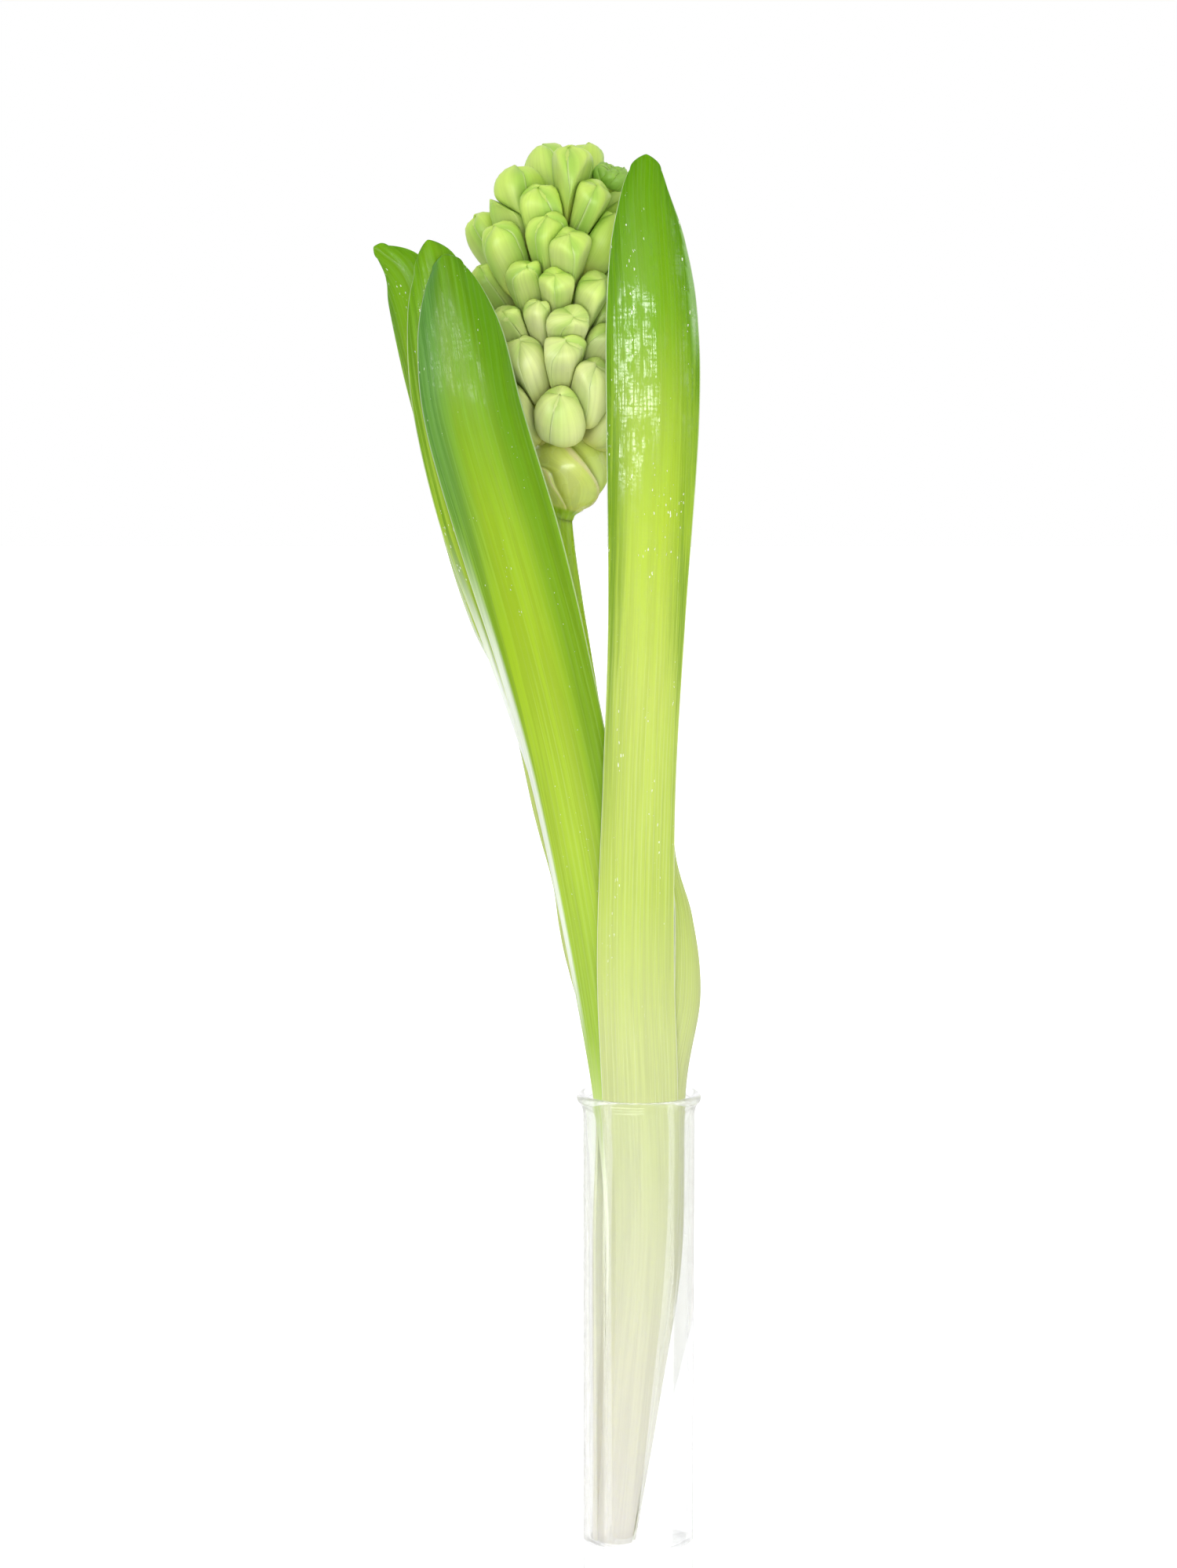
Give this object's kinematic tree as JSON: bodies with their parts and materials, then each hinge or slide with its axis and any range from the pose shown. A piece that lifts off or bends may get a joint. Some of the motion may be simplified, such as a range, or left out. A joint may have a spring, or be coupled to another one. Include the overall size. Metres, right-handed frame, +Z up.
{
  "type": "hyacinth flower in vase",
  "caption": "Cut hyacinth in tight green bud with broad strap leaves, standing in a slim clear glass tube vase with a rolled rim and a round foot.",
  "frame": {"origin": "centre of the vase's flat underside, where it rests", "axes": "+Z up along the vase, the front of the flower to -Y, +X to the right seen from the front"},
  "size_m": [0.0867, 0.0508, 0.3618],
  "materials": {
    "glass": "clear polished glass",
    "leaf": "smooth waxy green leaf, paler to cream at its base",
    "stem": "smooth bright green stalk, olive at its flared foot",
    "floret": "waxy closed tepals, cream-yellow below and green above",
    "young_floret": "tiny waxy green buds"
  },
  "bodies": {
    "root": {"vase": "glass", "flower_stem": "stem", "leaf_back_left": "leaf", "leaf_back_right": "leaf", "leaf_far_left": "leaf", "leaf_front_left": "leaf", "leaf_front_right": "leaf", "floret_knot": "young_floret", "floret_01": "floret", "floret_02": "floret", "floret_03": "floret", "floret_04": "floret", "floret_05": "floret", "floret_06": "floret", "floret_07": "floret", "floret_08": "floret", "floret_09": "floret", "floret_10": "floret", "floret_11": "floret", "floret_12": "floret", "floret_13": "floret", "floret_14": "floret", "floret_15": "floret", "floret_16": "floret", "floret_17": "floret", "floret_18": "floret", "floret_19": "floret", "floret_20": "floret", "floret_21": "floret", "floret_22": "floret", "floret_23": "floret", "floret_24": "floret", "floret_25": "floret", "floret_26": "floret", "floret_27": "floret", "floret_28": "floret", "floret_29": "floret", "floret_30": "floret", "floret_31": "floret", "floret_32": "floret", "floret_33": "floret", "floret_34": "floret", "floret_35": "floret", "floret_36": "floret", "floret_37": "floret", "floret_38": "floret", "floret_39": "floret", "floret_40": "floret", "floret_41": "floret", "floret_42": "floret", "floret_43": "floret", "floret_44": "floret", "floret_45": "floret", "floret_46": "floret", "floret_47": "floret", "floret_48": "floret", "floret_49": "floret", "floret_50": "floret", "floret_51": "floret", "floret_52": "floret"}
  },
  "joints": []
}
